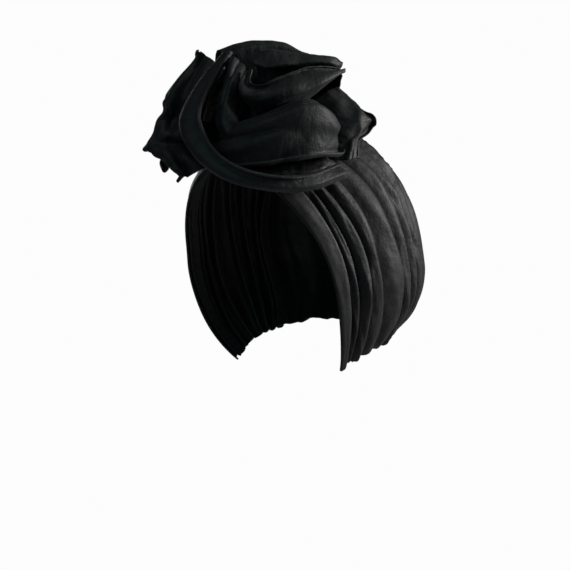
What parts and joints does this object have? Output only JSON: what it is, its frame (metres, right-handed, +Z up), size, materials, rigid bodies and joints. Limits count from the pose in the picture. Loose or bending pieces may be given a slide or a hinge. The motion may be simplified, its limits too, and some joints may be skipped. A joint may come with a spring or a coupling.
{
  "type": "turban headwrap",
  "caption": "Black pleated turban headwrap with a large folded cloth rosette over the brow and a short pointed tail of cloth at its side.",
  "frame": {"origin": "middle of the head inside the cap, level with the line where the cap grips the head", "axes": "+Z up, the wearer faces -Y, +X towards the wearer's left"},
  "size_m": [0.172, 0.2492, 0.2485],
  "materials": {
    "band_cloth": "smooth black cloth with a soft sheen",
    "pleated_cloth": "black crinkled cloth with a soft sheen, pleated",
    "pouch_cloth": "black crinkled cloth with a soft sheen, loosely gathered",
    "gathered_cloth": "black cloth, tightly gathered",
    "rosette_cloth": "black crinkled cloth with a soft sheen, folded"
  },
  "bodies": {
    "root": {"front_band": "band_cloth", "left_pleats": "pleated_cloth", "right_pleats": "pleated_cloth", "back_pouch": "pouch_cloth", "rosette_base": "gathered_cloth", "rosette_heart": "rosette_cloth", "rosette_swirl": "rosette_cloth", "petal_top": "rosette_cloth", "petal_upper_left": "rosette_cloth", "petal_inner_left": "rosette_cloth", "petal_front_billow": "rosette_cloth", "petal_lower_pocket": "rosette_cloth", "petal_outer_roll": "rosette_cloth", "petal_left_ruffles": "rosette_cloth", "petal_far_side": "rosette_cloth", "tail_loop": "rosette_cloth", "petal_back_upper": "rosette_cloth", "petal_back_lower": "rosette_cloth"}
  },
  "joints": []
}
